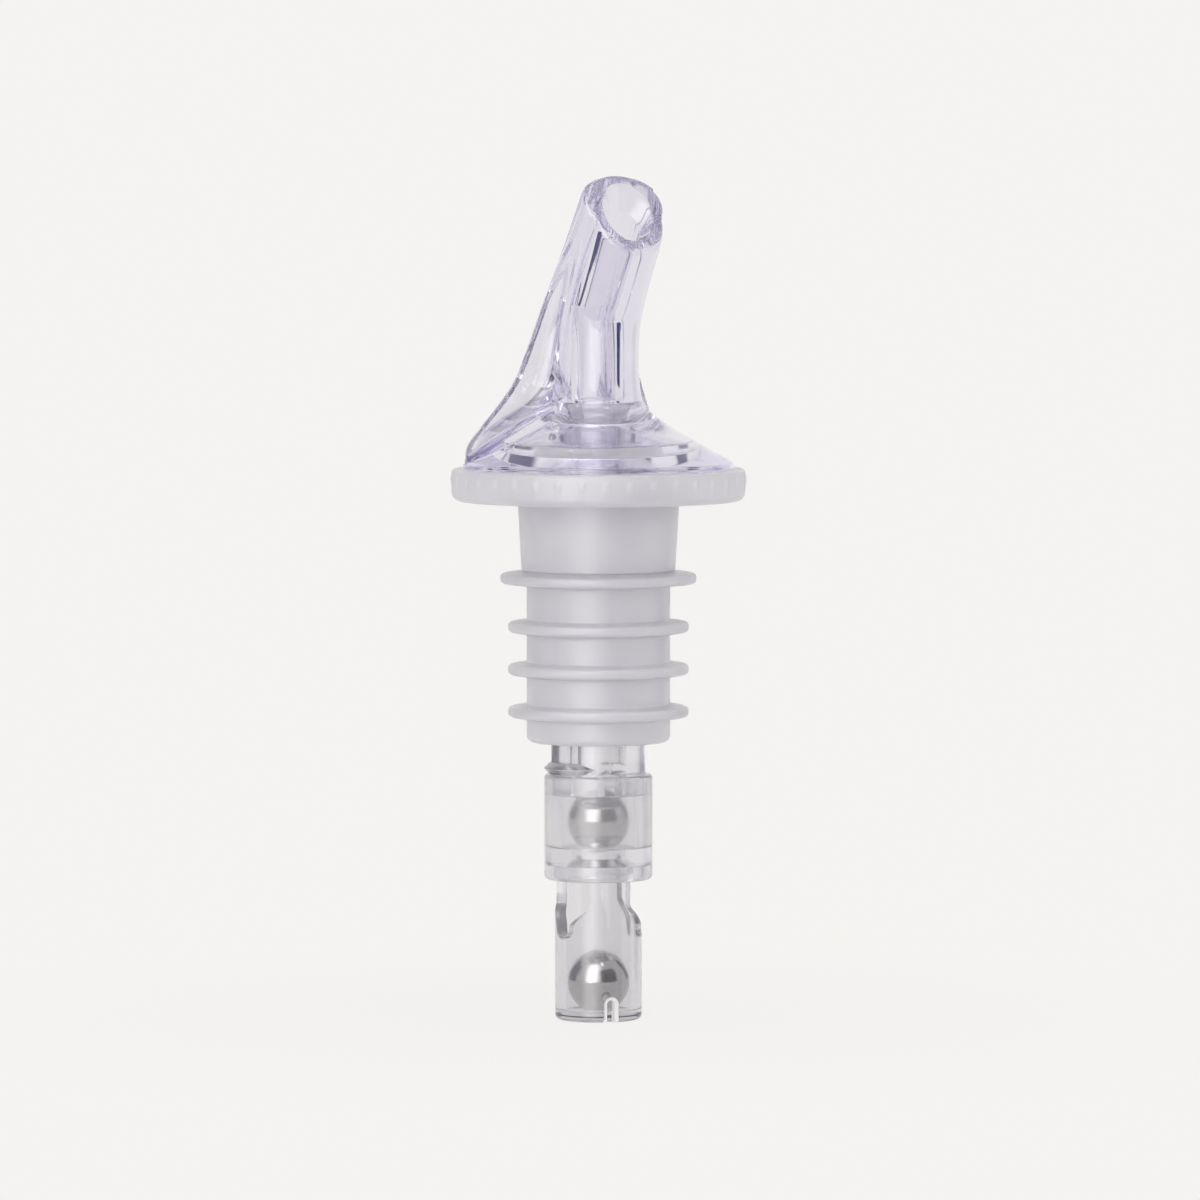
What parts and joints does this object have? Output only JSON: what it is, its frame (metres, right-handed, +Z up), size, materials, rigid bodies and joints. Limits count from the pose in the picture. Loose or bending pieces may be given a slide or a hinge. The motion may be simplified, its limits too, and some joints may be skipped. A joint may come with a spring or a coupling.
{
  "type": "measured liquor pourer",
  "caption": "Clear bottle pourer with a leaning winged spout, a ribbed collar, a finned stopper and a ball-valve tail that stops the flow after a set measure.",
  "frame": {"origin": "centre of the collar's underside, where the bottle's rim seats", "axes": "+Z up along the stopper's axis towards the spout, -Y the way the spout leans and pours"},
  "size_m": [0.0376, 0.0376, 0.1078],
  "materials": {
    "clear_plastic": "clear, moulded, with a faint lavender tint at thick edges",
    "tail_plastic": "clear, moulded, neutral and slightly hazy",
    "frosted_plastic": "frosted, translucent, slightly waxy",
    "polished_steel": "mirror polished"
  },
  "bodies": {
    "pourer": {"spout": "clear_plastic", "collar": "frosted_plastic", "cork": "frosted_plastic", "stem": "tail_plastic", "valve_cup": "tail_plastic", "timing_tube": "tail_plastic"},
    "timing_ball": {"timing_ball": "polished_steel"},
    "check_ball": {"check_ball": "polished_steel"}
  },
  "joints": [
    {"name": "timing_ball_travel", "type": "slide", "parent": "pourer", "child": "timing_ball", "axis": [0, 0, 1], "range_m": [0, 0.0124]},
    {"name": "check_ball_lift", "type": "slide", "parent": "pourer", "child": "check_ball", "axis": [0, 0, 1], "range_m": [0, 0.0014]}
  ]
}
